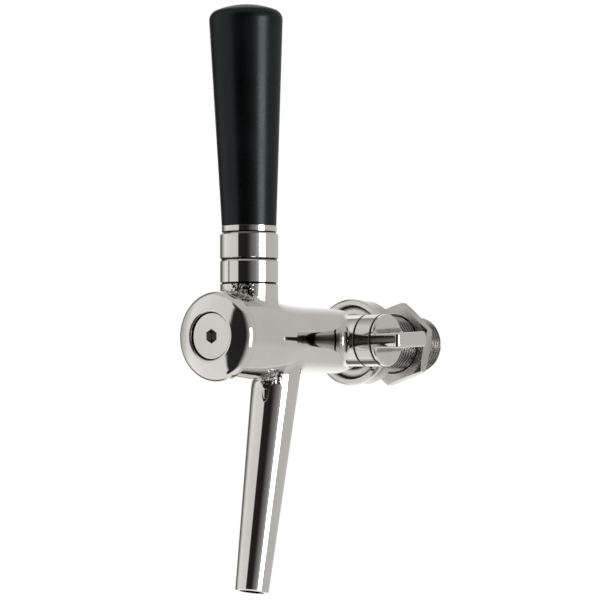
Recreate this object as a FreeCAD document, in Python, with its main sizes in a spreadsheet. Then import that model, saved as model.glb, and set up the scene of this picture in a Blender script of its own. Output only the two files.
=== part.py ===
import FreeCAD, Part
import math
import os
from types import SimpleNamespace

import Sketcher

# Flow control beer tap, in millimetres. The barrel lies along Y with the tap's front at -Y, the neck and
# handle rise along +Z, and the flow knob points along +X. The origin is on the barrel's axis, in the plane
# of the wall. "back" sizes are distances behind the front face, "height" sizes are above the barrel's axis
# and "side" sizes are out from it along +X.

SIZES = {
    # barrel and front cap
    "cap_radius": 17.5,
    "cap_rim_length": 0.5,
    "cap_crown_radius": 36.0,
    "cap_edge_round": 4.0,
    "cap_bore": 9.1,
    "cap_lip_round": 1.0,
    "cap_spigot_radius": 12.9,
    "cap_spigot_length": 4.4,
    "head_front_radius": 16.7,
    "head_back": 18.0,
    "head_radius": 16.35,
    "waist_back": 38.0,
    "waist_radius": 14.5,
    "barrel_back": 58.0,
    "barrel_radius": 13.0,
    "taper_start": 1.5,
    "taper_length": 11.5,
    "rear_spigot_radius": 10.0,
    "rear_spigot_length": 3.1,
    "main_bore": 8.8,
    "fixed_gap": 0.05,
    "running_gap": 0.1,
    "plain_gap": 0.3,
    "seam_width": 0.45,
    "side_seam_width": 0.7,
    "seam_depth": 0.7,
    # front plug
    "plug_back": 1.3,
    "plug_length": 5.6,
    "plug_chamfer": 0.35,
    "socket_flats": 5.0,
    "socket_depth": 3.2,
    "oring_thickness": 1.4,
    "oring_slack": 0.1,
    # neck, lock ring and lever
    "neck_back": 25.0,
    "neck_radius": 11.35,
    "neck_height": 20.8,
    "neck_root_round": 2.8,
    "neck_well_depth": 5.2,
    "neck_counterbore": 9.8,
    "lock_spigot_wall": 0.9,
    "lock_groove": 0.35,
    "lock_mark_width": 0.5,
    "lock_mark_length": 8.6,
    "lock_mark_side": 1.2,
    "pivot_rise": 2.8,
    "crown_radius": 12.7,
    "ball_radius": 8.0,
    "pour_angle": 20.0,
    "foam_angle": 10.0,
    "stem_radius": 3.5,
    "arm_radius": 2.4,
    "arm_ball_radius": 3.0,
    "arm_ball_height": 4.0,
    "arm_gap": 0.45,
    "skirt_radius": 11.4,
    "skirt_rise": 17.1,
    "skirt_chamfer": 0.9,
    "stud_radius": 4.0,
    "stud_length": 17.3,
    # handle
    "handle_ring_radius": 10.75,
    "handle_ring_thickness": 2.7,
    "handle_ring_chamfer": 0.3,
    "insert_radius": 6.0,
    "insert_length": 22.6,
    "grip_foot_radius": 10.6,
    "grip_top_radius": 14.3,
    "grip_length": 85.9,
    "grip_dome_radius": 32.0,
    "grip_corner_radius": 4.1,
    "grip_lean": 1.55,
    # spout
    "spout_back": 45.2,
    "spout_lean": 10.57,
    "spout_length": 99.8,
    "spout_root_radius": 10.0,
    "spout_tip_radius": 6.55,
    "spout_bore_root": 5.4,
    "spout_bore_tip": 4.9,
    "spout_outlet_length": 14.0,
    "spout_root_round": 4.2,
    # piston and valve
    "piston_ahead": 11.5,
    "piston_length": 20.0,
    "piston_pocket_depth": 3.6,
    "rod_radius": 2.2,
    "valve_radius": 5.1,
    "valve_head_start": 4.5,
    "valve_head_length": 4.5,
    "valve_sleeve_behind": 7.3,
    "valve_sleeve_length": 8.5,
    # compensator and flow spindle
    "boss_back": 81.0,
    "boss_radius": 10.4,
    "boss_side": 17.1,
    "boss_root_round": 2.5,
    "boss_bore": 5.0,
    "joint_chamfer": 0.35,
    "sleeve_ahead": 9.5,
    "sleeve_length": 18.0,
    "sleeve_front_bore": 5.0,
    "sleeve_rear_bore": 7.4,
    "cone_ahead": 8.0,
    "cone_length": 15.0,
    "cone_front_radius": 3.5,
    "cone_rear_radius": 6.3,
    "cone_groove_floor": 3.1,
    "crank_offset": 2.0,
    "crank_pin_radius": 1.1,
    "crank_pin_side": 3.7,
    "crank_gap": 0.3,
    "spindle_disc_side": 9.2,
    "spindle_disc_thickness": 2.0,
    "spindle_radius": 3.2,
    "spindle_reach": 5.6,
    "gland_thickness": 7.8,
    "knob_radius": 10.4,
    "knob_length": 13.9,
    "knob_edge_round": 1.7,
    "knob_base_length": 2.3,
    "knob_base_round": 1.0,
    "blade_thickness": 6.0,
    "blade_root_round": 1.2,
    "knob_rest_turn": 3.6,
    # threaded tail and wall fittings
    "tail_bore": 5.0,
    "tail_thread_radius": 11.455,
    "tail_reach": 40.6,
    "tail_end_chamfer": 1.2,
    "tail_seal_bore": 5.6,
    "tail_seal_thickness": 1.5,
    "rosette_thickness": 4.1,
    "rosette_radius": 17.4,
    "rosette_rim_bore": 15.2,
    "rosette_dish_depth": 2.3,
    "rosette_dish_step": 0.7,
    "rosette_rebate": 1.0,
    "slotted_ring_radius": 17.0,
    "slotted_ring_thickness": 6.3,
    "slotted_ring_chamfer": 0.35,
    "slot_count": 6,
    "slot_width": 5.2,
    "slot_depth": 1.7,
    "slot_rest_turn": 30.0,
    "thread_gap": 0.06,
    "nut_gap": 20.6,
    "nut_thickness": 5.1,
    "nut_flats": 30.0,
    "nut_corner_radius": 16.9,
    "nut_bevel": 1.3,
    "nut_bore_chamfer": 0.9,
    "nut_rest_turn": 18.5,
}


class Size:
    """A number together with the formula that ties it to the spreadsheet."""

    def __init__(self, value, text):
        self.value = value
        self.text = text

    def __add__(self, other):
        other = sized(other)
        return Size(self.value + other.value, f"({self.text} + {other.text})")

    def __sub__(self, other):
        other = sized(other)
        return Size(self.value - other.value, f"({self.text} - {other.text})")

    def __rsub__(self, other):
        return sized(other) - self

    def __mul__(self, other):
        other = sized(other)
        return Size(self.value * other.value, f"({self.text} * {other.text})")

    def __truediv__(self, other):
        other = sized(other)
        return Size(self.value / other.value, f"({self.text} / {other.text})")

    def __neg__(self):
        return Size(-self.value, f"(0 - {self.text})")

    __radd__ = __add__
    __rmul__ = __mul__


def sized(number):
    return number if isinstance(number, Size) else Size(float(number), repr(float(number)))


def root(a):
    return Size(math.sqrt(a.value), f"sqrt({a.text})")


def leg(long_side, short_side):
    """The other leg of a right triangle."""
    long_side = sized(long_side)
    short_side = sized(short_side)
    return root(long_side * long_side - short_side * short_side)


def hexagon_corner(flats):
    """How far a hexagon's corners lie from its middle; each side spans a sixth of the turn."""
    half_side = sized(180 / 6)
    return flats / cosine(half_side) / 2


def sine(angle):
    return Size(math.sin(math.radians(angle.value)), f"sin({angle.text} * 1 deg)")


def cosine(angle):
    return Size(math.cos(math.radians(angle.value)), f"cos({angle.text} * 1 deg)")


doc = FreeCAD.newDocument("beer_tap")
sheet = doc.addObject("Spreadsheet::Sheet", "sizes")
for row, (name, number) in enumerate(SIZES.items(), start=1):
    sheet.set(f"A{row}", name)
    sheet.set(f"B{row}", str(number))
    sheet.setAlias(f"B{row}", name)
doc.recompute()
s = SimpleNamespace(**{name: Size(float(number), f"sizes.{name}") for name, number in SIZES.items()})

# Places that follow from the sizes: the cap's rounds, along the barrel, up the neck and out to the side

s.cap_lip_out = s.cap_bore + s.cap_lip_round
s.cap_lip_drop = leg(s.cap_crown_radius - s.cap_lip_round, s.cap_lip_out)
s.cap_crown_back = s.cap_lip_round + s.cap_lip_drop
s.cap_edge_out = s.cap_radius - s.cap_edge_round
s.cap_edge_drop = leg(s.cap_crown_radius - s.cap_edge_round, s.cap_edge_out)
s.cap_edge_back = s.cap_crown_back - s.cap_edge_drop
s.cap_thickness = s.cap_edge_back + s.cap_rim_length

s.taper_front_back = s.boss_back + s.taper_start
s.taper_rear_back = s.taper_front_back + s.taper_length
s.rear_spigot_back = s.taper_rear_back + s.rear_spigot_length
s.front_reach = s.rear_spigot_back + s.plain_gap + s.slotted_ring_thickness
s.piston_front_back = s.neck_back - s.piston_ahead
s.piston_rear_back = s.piston_front_back + s.piston_length
s.valve_sleeve_front = s.spout_back + s.valve_sleeve_behind
s.valve_sleeve_rear = s.valve_sleeve_front + s.valve_sleeve_length
s.head_front_back = s.valve_sleeve_front + s.valve_head_start
s.head_rear_back = s.head_front_back + s.valve_head_length
s.sleeve_front = s.boss_back - s.sleeve_ahead
s.sleeve_rear = s.sleeve_front + s.sleeve_length
s.cone_front = s.boss_back - s.cone_ahead
s.cone_rear = s.cone_front + s.cone_length
s.tail_front = s.sleeve_rear + s.tail_seal_thickness
s.tail_end = s.front_reach + s.tail_reach
s.rosette_front = s.rear_spigot_back - s.rosette_thickness
s.nut_front = s.front_reach + s.nut_gap

s.neck_floor_height = s.neck_height - s.neck_well_depth
s.pivot_height = s.neck_height + s.pivot_rise
s.skirt_height = s.pivot_height + s.skirt_rise
s.handle_ring_height = s.skirt_height + s.handle_ring_thickness
s.stud_height = s.skirt_height + s.stud_length
s.insert_height = s.handle_ring_height + s.insert_length
s.grip_height = s.handle_ring_height + s.grip_length

s.gland_side = s.boss_side + s.gland_thickness
s.knob_side = s.gland_side + s.knob_length
s.knob_base_side = s.gland_side + s.knob_base_length
s.spindle_end_side = s.gland_side + s.spindle_reach

parts = []


# Helpers for sketches and bodies

def new_sketch(body, plane, name):
    """A sketch on one of the body's own origin planes."""
    sketch = body.newObject("Sketcher::SketchObject", name)
    origin_plane = [f for f in body.Origin.OriginFeatures if f.Role == plane][0]
    sketch.AttachmentSupport = (origin_plane, "")
    sketch.MapMode = "FlatFace"
    return sketch


def arc_to(x, y, radius, centre):
    """A step of an outline that is reached by an arc round the centre."""
    return (x, y, radius, centre)


def hold(sketch, geometry, vertex, x, y):
    """Ties a vertex to its two distances from the sketch's origin."""
    for kind, distance in (("DistanceX", sized(x)), ("DistanceY", sized(y))):
        if distance.value < 0:
            distance = -distance
            ends = (geometry, vertex, -1, 1)
        else:
            ends = (-1, 1, geometry, vertex)
        number = sketch.addConstraint(Sketcher.Constraint(kind, *ends, distance.value))
        sketch.setExpression(f"Constraints[{number}]", distance.text)


def vector(x, y):
    return FreeCAD.Vector(sized(x).value, sized(y).value, 0)


def draw(sketch, steps, axis=None):
    """A closed outline through the steps, and the turning axis as a construction line."""
    if axis:
        line = sketch.addGeometry(Part.LineSegment(vector(*axis[0]), vector(*axis[1])), True)
        hold(sketch, line, 1, *axis[0])
        hold(sketch, line, 2, *axis[1])
    ends = []
    for step, after in zip(steps, steps[1:] + steps[:1]):
        start = vector(*step[:2])
        end = vector(*after[:2])
        if len(after) == 2:
            number = sketch.addGeometry(Part.LineSegment(start, end))
        else:
            radius, centre = after[2:]
            middle = vector(*centre)
            outward = ((start + end) * 0.5 - middle).normalize()
            curve = Part.Arc(start, middle + outward * radius.value, end)
            number = sketch.addGeometry(curve)
            limit = sketch.addConstraint(Sketcher.Constraint("Radius", number, radius.value))
            sketch.setExpression(f"Constraints[{limit}]", radius.text)
        first = 1 if (sketch.getPoint(number, 1) - start).Length < 1e-6 else 2
        ends.append((number, first, 3 - first))
    for here, there in zip(ends, ends[1:] + ends[:1]):
        sketch.addConstraint(Sketcher.Constraint("Coincident", here[0], here[2], there[0], there[1]))
    for (number, first, _), step in zip(ends, steps):
        hold(sketch, number, first, *step[:2])


def draw_circle(sketch, x, y, radius):
    number = sketch.addGeometry(Part.Circle(vector(x, y), FreeCAD.Vector(0, 0, 1), radius.value))
    limit = sketch.addConstraint(Sketcher.Constraint("Radius", number, radius.value))
    sketch.setExpression(f"Constraints[{limit}]", radius.text)
    hold(sketch, number, 3, x, y)


def place(body, line, turn=None):
    """Puts a piece on the barrel, neck or side line, its own Z along that line."""
    turns = {
        "barrel": FreeCAD.Rotation(FreeCAD.Vector(1, 0, 0), -90),
        "neck": FreeCAD.Rotation(),
        "side": FreeCAD.Rotation(FreeCAD.Vector(0, 1, 0), 90),
        "body": FreeCAD.Rotation(),
    }
    rotation = turns[line]
    if turn:
        rotation = rotation.multiply(FreeCAD.Rotation(FreeCAD.Vector(0, 0, 1), turn.value))
    body.Placement = FreeCAD.Placement(FreeCAD.Vector(0, 0, 0), rotation)
    backs = {"barrel": sized(0), "neck": s.neck_back, "side": s.boss_back, "body": sized(0)}
    body.setExpression("Placement.Base.y", (backs[line] - s.front_reach).text)


def new_body(label):
    body = doc.addObject("PartDesign::Body", label)
    body.Label = label
    parts.append(body)
    return body


def revolve(body, plane, name, steps, axis=None, cut=False, straight="V_Axis"):
    """Turns an outline about an axis of its sketch, to add or to cut."""
    sketch = new_sketch(body, plane, name + "_outline")
    draw(sketch, steps, axis)
    kind = "PartDesign::Groove" if cut else "PartDesign::Revolution"
    feature = body.newObject(kind, name)
    feature.Profile = sketch
    feature.ReferenceAxis = (sketch, ["Axis0" if axis else straight])
    feature.Angle = 360
    before = body.Shape.Volume if cut else 0
    doc.recompute()
    if cut and not body.Shape.Volume < before - 1e-6:
        raise RuntimeError(name + " cut nothing")
    return feature


def turned(label, line, steps, turn=None):
    """A piece turned about its own Z axis. Steps are (radius, distance along the axis)."""
    body = new_body(label)
    revolve(body, "XZ_Plane", label + "_turning", steps)
    place(body, line, turn)
    return body


def pocket(body, plane, name, drawing, depth, both_sides=False):
    """Cuts a sketch into the body, along its plane's normal or evenly to both sides."""
    sketch = new_sketch(body, plane, name + "_outline")
    drawing(sketch)
    feature = body.newObject("PartDesign::Pocket", name)
    feature.Profile = sketch
    feature.Reversed = True
    feature.Midplane = both_sides
    feature.Type = "Length"
    feature.Length = depth.value
    feature.setExpression("Length", depth.text)
    before = body.Shape.Volume
    doc.recompute()
    if not body.Shape.Volume < before - 1e-6:
        raise RuntimeError(name + " cut nothing")
    return feature


def ring(label, line, radius, distance):
    """A round rubber seal lying in its groove."""
    seal = doc.addObject("Part::Torus", label)
    seal.Label = label
    seal.setExpression("Radius1", radius.text)
    seal.setExpression("Radius2", (s.oring_thickness / 2).text)
    place(seal, line)
    along = {"barrel": ("y", distance - s.front_reach), "neck": ("z", distance), "side": ("x", distance)}
    coordinate, value = along[line]
    seal.setExpression(f"Placement.Base.{coordinate}", value.text)
    parts.append(seal)


def oring_groove(outer, distance):
    """Steps of a seal groove in a turned outline, and the seal's own radius."""
    half = s.oring_thickness / 2 + s.oring_slack
    floor = outer - s.oring_thickness
    front = distance - half
    back = distance + half
    steps = [(outer, front), (floor, front), (floor, back), (outer, back)]
    return steps, outer - s.oring_thickness / 2 + s.fixed_gap


def curved_edges(shape, low, high):
    """Names of the edges where two skins meet in a free curve, between two distances along Y."""
    found = []
    for number, edge in enumerate(shape.Edges, start=1):
        middle = edge.BoundBox.Center
        if edge.Curve.TypeId == "Part::GeomBSplineCurve" and low < middle.y < high:
            found.append(f"Edge{number}")
    return found


def soften(body, name, edges, radius):
    """Rounds the named edges of the body's last feature."""
    if not edges:
        raise RuntimeError(name + " found no edge")
    base = body.Tip
    feature = body.newObject("PartDesign::Fillet", name)
    feature.Base = (base, edges)
    feature.Radius = radius.value
    feature.setExpression("Radius", radius.text)
    doc.recompute()
    return feature


# The hollow body: flared barrel, neck, leaning spout and side boss, blended together and then bored

def make_tap_body():
    body = new_body("tap_body")
    hollow_run = s.barrel_back - s.waist_back
    hollow_rise = s.waist_radius - s.barrel_radius
    hollow_round = (hollow_run * hollow_run + hollow_rise * hollow_rise) / hollow_rise / 2
    away_back = (s.waist_back - s.barrel_back) / hollow_round
    away_radius = (s.waist_radius - s.barrel_radius - hollow_round) / hollow_round
    crown_run = s.head_back - s.waist_back
    crown_rise = s.head_radius - s.waist_radius
    crown_depth = crown_run * away_back + crown_rise * away_radius
    crown_round = (crown_run * crown_run + crown_rise * crown_rise) / crown_depth / 2
    crown_centre = (s.waist_back + crown_round * away_back, s.waist_radius + crown_round * away_radius)
    barrel = [
        (s.cap_thickness, 0),
        (s.cap_thickness, s.head_front_radius),
        (s.head_back, s.head_radius),
        arc_to(s.waist_back, s.waist_radius, crown_round, crown_centre),
        arc_to(s.barrel_back, s.barrel_radius, hollow_round, (s.barrel_back, s.barrel_radius + hollow_round)),
        (s.taper_front_back, s.barrel_radius),
        (s.taper_rear_back, s.rear_spigot_radius),
        (s.rear_spigot_back, s.rear_spigot_radius),
        (s.rear_spigot_back, 0),
    ]
    revolve(body, "YZ_Plane", "barrel_skin", barrel, straight="H_Axis")

    neck = [
        (s.neck_back, 0),
        (s.neck_back + s.neck_radius, 0),
        (s.neck_back + s.neck_radius, s.neck_height - s.joint_chamfer),
        (s.neck_back + s.neck_radius - s.joint_chamfer, s.neck_height),
        (s.neck_back, s.neck_height),
    ]
    revolve(body, "YZ_Plane", "neck_skin", neck, axis=((s.neck_back, 0), (s.neck_back, s.neck_height)))

    def on_spout(along, out):
        across_back = s.spout_back - along * sine(s.spout_lean) + out * cosine(s.spout_lean)
        down = along * cosine(s.spout_lean) + out * sine(s.spout_lean)
        return across_back, -down

    zero = sized(0)
    spout_axis = ((s.spout_back, 0), on_spout(s.spout_length, zero))
    spout = [
        on_spout(zero, zero),
        on_spout(zero, s.spout_root_radius),
        on_spout(s.spout_length - s.joint_chamfer, s.spout_tip_radius),
        on_spout(s.spout_length, s.spout_tip_radius - s.joint_chamfer),
        on_spout(s.spout_length, zero),
    ]
    revolve(body, "YZ_Plane", "spout_skin", spout, axis=spout_axis)

    boss_axis = ((0, s.boss_back), (s.boss_side, s.boss_back))
    boss = [
        (0, s.boss_back),
        (0, s.boss_back + s.boss_radius),
        (s.boss_side - s.joint_chamfer, s.boss_back + s.boss_radius),
        (s.boss_side, s.boss_back + s.boss_radius - s.joint_chamfer),
        (s.boss_side, s.boss_back),
    ]
    revolve(body, "XY_Plane", "boss_skin", boss, axis=boss_axis)

    neck_zone = (s.neck_back.value - s.neck_radius.value, s.neck_back.value + s.neck_radius.value / 2)
    spout_zone = (neck_zone[1], s.spout_back.value + s.spout_root_radius.value)
    boss_zone = (spout_zone[1], s.rear_spigot_back.value)
    soften(body, "neck_root", curved_edges(body.Shape, *neck_zone), s.neck_root_round)
    soften(body, "spout_root", curved_edges(body.Shape, *spout_zone), s.spout_root_round)
    soften(body, "boss_root", curved_edges(body.Shape, *boss_zone), s.boss_root_round)

    bores = [
        (0, 0),
        (0, s.cap_spigot_radius + s.fixed_gap),
        (s.cap_thickness + s.cap_spigot_length + s.fixed_gap, s.cap_spigot_radius + s.fixed_gap),
        (s.cap_thickness + s.cap_spigot_length + s.fixed_gap, s.main_bore),
        (s.rear_spigot_back + s.plain_gap, s.main_bore),
        (s.rear_spigot_back + s.plain_gap, 0),
    ]
    revolve(body, "YZ_Plane", "main_bore", bores, cut=True, straight="H_Axis")
    neck_well = [
        (s.neck_back, s.neck_floor_height),
        (s.neck_back + s.neck_counterbore, s.neck_floor_height),
        (s.neck_back + s.neck_counterbore, s.neck_height + s.plain_gap),
        (s.neck_back, s.neck_height + s.plain_gap),
    ]
    well_axis = ((s.neck_back, s.neck_floor_height), (s.neck_back, s.neck_height))
    revolve(body, "YZ_Plane", "neck_well", neck_well, axis=well_axis, cut=True)

    def arm_slot(sketch):
        half_width = s.arm_radius + s.arm_gap
        drop = s.pivot_height - s.main_bore
        half_length = drop * sine(s.pour_angle) / cosine(s.pour_angle) + s.arm_radius + s.arm_gap
        near = s.neck_back - half_length
        far = s.neck_back + half_length
        steps = [(-half_width, near), (half_width, near), (half_width, far), (-half_width, far)]
        draw(sketch, steps)

    pocket(body, "XY_Plane", "arm_slot", arm_slot, s.neck_floor_height + s.plain_gap)

    bore_start = s.main_bore - s.plain_gap
    spout_bore = [
        on_spout(bore_start, zero),
        on_spout(bore_start, s.spout_bore_root),
        on_spout(s.spout_length - s.spout_outlet_length, s.spout_bore_tip),
        on_spout(s.spout_length + s.plain_gap, s.spout_bore_tip),
        on_spout(s.spout_length + s.plain_gap, zero),
    ]
    revolve(body, "YZ_Plane", "spout_bore", spout_bore, axis=spout_axis, cut=True)
    boss_bore = [
        (s.main_bore - s.spindle_disc_thickness, s.boss_back),
        (s.main_bore - s.spindle_disc_thickness, s.boss_back + s.boss_bore),
        (s.boss_side + s.plain_gap, s.boss_back + s.boss_bore),
        (s.boss_side + s.plain_gap, s.boss_back),
    ]
    revolve(body, "XY_Plane", "boss_bore", boss_bore, axis=boss_axis, cut=True)
    place(body, "body")


# Front cap with its centre plug

def make_front():
    def on_crown(out, drop, small_round):
        """Where the crowned face meets one of its two small rounds."""
        reach = s.cap_crown_radius / (s.cap_crown_radius - small_round)
        return out * reach, s.cap_crown_back - drop * reach

    lip_end = on_crown(s.cap_lip_out, s.cap_lip_drop, s.cap_lip_round)
    crown_end = on_crown(s.cap_edge_out, s.cap_edge_drop, s.cap_edge_round)
    cap = [
        (s.cap_bore, s.cap_lip_round),
        arc_to(*lip_end, s.cap_lip_round, (s.cap_lip_out, s.cap_lip_round)),
        arc_to(*crown_end, s.cap_crown_radius, (0, s.cap_crown_back)),
        arc_to(s.cap_radius, s.cap_edge_back, s.cap_edge_round, (s.cap_edge_out, s.cap_edge_back)),
        (s.cap_radius, s.cap_thickness - s.joint_chamfer),
        (s.cap_radius - s.joint_chamfer, s.cap_thickness),
        (s.cap_spigot_radius, s.cap_thickness),
        (s.cap_spigot_radius, s.cap_thickness + s.cap_spigot_length),
        (s.cap_bore, s.cap_thickness + s.cap_spigot_length),
    ]
    turned("front_cap", "barrel", cap)

    plug_radius = s.cap_bore - s.fixed_gap
    groove_back = s.plug_back + s.plug_length - s.oring_thickness
    groove, seal_radius = oring_groove(plug_radius, groove_back)
    plug = [(0, s.plug_back), (plug_radius - s.plug_chamfer, s.plug_back)]
    plug += [(plug_radius, s.plug_back + s.plug_chamfer)] + groove
    plug += [(plug_radius, s.plug_back + s.plug_length), (0, s.plug_back + s.plug_length)]
    body = turned("front_plug", "barrel", plug)

    def hexagon(sketch):
        corner = hexagon_corner(s.socket_flats)
        draw(sketch, [(corner * sine(sized(a)), corner * cosine(sized(a))) for a in range(0, 360, 60)])

    pocket(body, "XY_Plane", "hex_socket", hexagon, s.plug_back + s.socket_depth)
    ring("front_plug_seal", "barrel", seal_radius - s.fixed_gap, groove_back)


# Lock ring with its ball seats, over the neck

def make_neck_fittings():
    socket = s.ball_radius + s.running_gap
    spigot = s.neck_counterbore - s.running_gap
    inner = spigot - s.lock_spigot_wall
    foot = s.neck_floor_height + s.plain_gap
    pivot = (0, s.pivot_height)
    seal_height = s.pivot_height + s.oring_thickness
    seat_top = leg(socket, seal_height - s.pivot_height)
    seal_room = s.oring_thickness + s.oring_slack * 2
    seal_floor = s.ball_radius + s.fixed_gap + seal_room
    lock_ring = [
        (inner, foot),
        (spigot, foot),
        (spigot, s.neck_height),
        (s.neck_radius - s.seam_depth, s.neck_height),
        (s.neck_radius - s.seam_depth, s.neck_height + s.seam_width),
        (s.neck_radius, s.neck_height + s.seam_width),
        (s.neck_radius, s.pivot_height + leg(s.crown_radius, s.neck_radius)),
        arc_to(0, s.pivot_height + s.crown_radius, s.crown_radius, pivot),
        (0, s.pivot_height + socket),
        arc_to(seat_top, seal_height, socket, pivot),
        (inner, seal_height),
        (inner, s.pivot_height),
        (seal_floor, s.pivot_height),
        (seal_floor, s.pivot_height - seal_room),
        (inner, s.pivot_height - seal_room),
    ]
    body = turned("lock_ring", "neck", lock_ring)

    def stem_slot(sketch):
        low = sized(1)
        high = s.crown_radius + s.plain_gap

        def edge(rise, angle):
            return (rise * sine(angle) + s.stem_radius + s.arm_gap) / cosine(angle)

        steps = [
            (-edge(low, s.pour_angle), s.pivot_height + low),
            (edge(low, s.foam_angle), s.pivot_height + low),
            (edge(high, s.foam_angle), s.pivot_height + high),
            (-edge(high, s.pour_angle), s.pivot_height + high),
        ]
        draw(sketch, steps)

    pocket(body, "YZ_Plane", "stem_slot", stem_slot, (s.stem_radius + s.arm_gap) * 2, both_sides=True)

    def witness_mark(sketch):
        half = s.lock_mark_width / 2
        low = s.neck_height
        high = low + s.lock_mark_length
        left = -s.lock_mark_side - half
        right = -s.lock_mark_side + half
        draw(sketch, [(left, low), (right, low), (right, high), (left, high)])

    pocket(body, "XZ_Plane", "witness_mark", witness_mark, s.neck_radius + s.plain_gap)

    seat_outer = inner - s.fixed_gap
    seat_top_height = s.pivot_height - s.oring_thickness * 2
    seat_bore = s.ball_radius - s.oring_thickness - s.plain_gap
    seat = [
        (seat_bore, s.neck_floor_height),
        (seat_outer, s.neck_floor_height),
        (seat_outer, seat_top_height),
        (leg(socket, s.oring_thickness * 2), seat_top_height),
        arc_to(seat_bore, s.pivot_height - leg(socket, seat_bore), socket, pivot),
    ]
    turned("ball_seat", "neck", seat)
    seal_radius = s.ball_radius + s.fixed_gap * 2 + s.oring_thickness / 2
    ring("ball_seal", "neck", seal_radius, s.pivot_height - seal_room / 2)


# Lever: ball stem, skirt, ring and handle

def make_lever():
    pivot = (0, s.pivot_height)
    arm_top = s.pivot_height - leg(s.ball_radius, s.arm_radius)
    stem_foot = s.pivot_height + leg(s.ball_radius, s.stem_radius)
    stem_top = s.skirt_height - s.skirt_chamfer * 2
    stem = [
        (0, s.arm_ball_height - s.arm_ball_radius),
        arc_to(
            s.arm_radius,
            s.arm_ball_height + leg(s.arm_ball_radius, s.arm_radius),
            s.arm_ball_radius,
            (0, s.arm_ball_height),
        ),
        (s.arm_radius, arm_top),
        arc_to(s.stem_radius, stem_foot, s.ball_radius, pivot),
        (s.stem_radius, stem_top),
        (s.stud_radius, stem_top),
        (s.stud_radius, s.stud_height),
        (0, s.stud_height),
    ]
    turned("lever_stem", "neck", stem)

    hollow = s.crown_radius + s.plain_gap
    bore = s.stud_radius + s.fixed_gap
    rim = s.skirt_radius - s.lock_groove
    rim_height = s.pivot_height + leg(hollow, rim)
    skirt = [
        (bore, s.pivot_height + leg(hollow, bore)),
        arc_to(rim, rim_height, hollow, pivot),
        (s.skirt_radius, rim_height + s.lock_groove),
        (s.skirt_radius, s.skirt_height - s.skirt_chamfer),
        (s.skirt_radius - s.skirt_chamfer, s.skirt_height),
        (bore, s.skirt_height),
    ]
    turned("lever_skirt", "neck", skirt)

    edge = s.handle_ring_chamfer
    handle_ring = [
        (bore, s.skirt_height),
        (s.handle_ring_radius - edge, s.skirt_height),
        (s.handle_ring_radius, s.skirt_height + edge),
        (s.handle_ring_radius, s.handle_ring_height - edge),
        (s.handle_ring_radius - edge, s.handle_ring_height),
        (bore, s.handle_ring_height),
    ]
    turned("handle_ring", "neck", handle_ring)

    insert = [
        (bore, s.handle_ring_height),
        (s.insert_radius - edge, s.handle_ring_height),
        (s.insert_radius, s.handle_ring_height + edge),
        (s.insert_radius, s.insert_height - edge),
        (s.insert_radius - edge, s.insert_height),
        (bore, s.insert_height),
    ]
    turned("handle_insert", "neck", insert)

    def on_grip(out, up):
        """A point of the grip, whose axis leans forward from the middle of its foot."""
        rise = up - s.handle_ring_height
        back = out * cosine(s.grip_lean) - rise * sine(s.grip_lean)
        return back, s.handle_ring_height + out * sine(s.grip_lean) + rise * cosine(s.grip_lean)

    dome_centre = s.grip_height - s.grip_dome_radius
    corner_out = s.grip_top_radius - s.grip_corner_radius
    inner_radius = s.grip_dome_radius - s.grip_corner_radius
    corner_rise = leg(inner_radius, corner_out)
    corner_up = dome_centre + corner_rise
    reach = s.grip_dome_radius / inner_radius
    spare = s.grip_foot_radius * sine(s.grip_lean) * 2 + s.plain_gap
    below = s.handle_ring_height - spare
    grip = [
        on_grip(0, below),
        on_grip(s.grip_foot_radius, below),
        on_grip(s.grip_foot_radius, s.handle_ring_height),
        on_grip(s.grip_top_radius, corner_up),
        arc_to(
            *on_grip(corner_out * reach, dome_centre + corner_rise * reach),
            s.grip_corner_radius,
            on_grip(corner_out, corner_up),
        ),
        arc_to(*on_grip(0, s.grip_height), s.grip_dome_radius, on_grip(0, dome_centre)),
    ]
    body = new_body("handle_grip")
    grip_axis = (on_grip(0, below), on_grip(0, s.grip_height))
    revolve(body, "YZ_Plane", "grip_skin", grip, axis=grip_axis)
    hole = s.insert_radius + s.fixed_gap
    foot_cut = [
        (0, below - spare),
        (s.grip_foot_radius + spare, below - spare),
        (s.grip_foot_radius + spare, s.handle_ring_height),
        (hole, s.handle_ring_height),
        (hole, s.insert_height + s.plain_gap),
        (0, s.insert_height + s.plain_gap),
    ]
    revolve(body, "XZ_Plane", "foot_cut", foot_cut, cut=True)
    place(body, "neck")


# Piston with its valve head, pushed by the lever's lower ball

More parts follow.
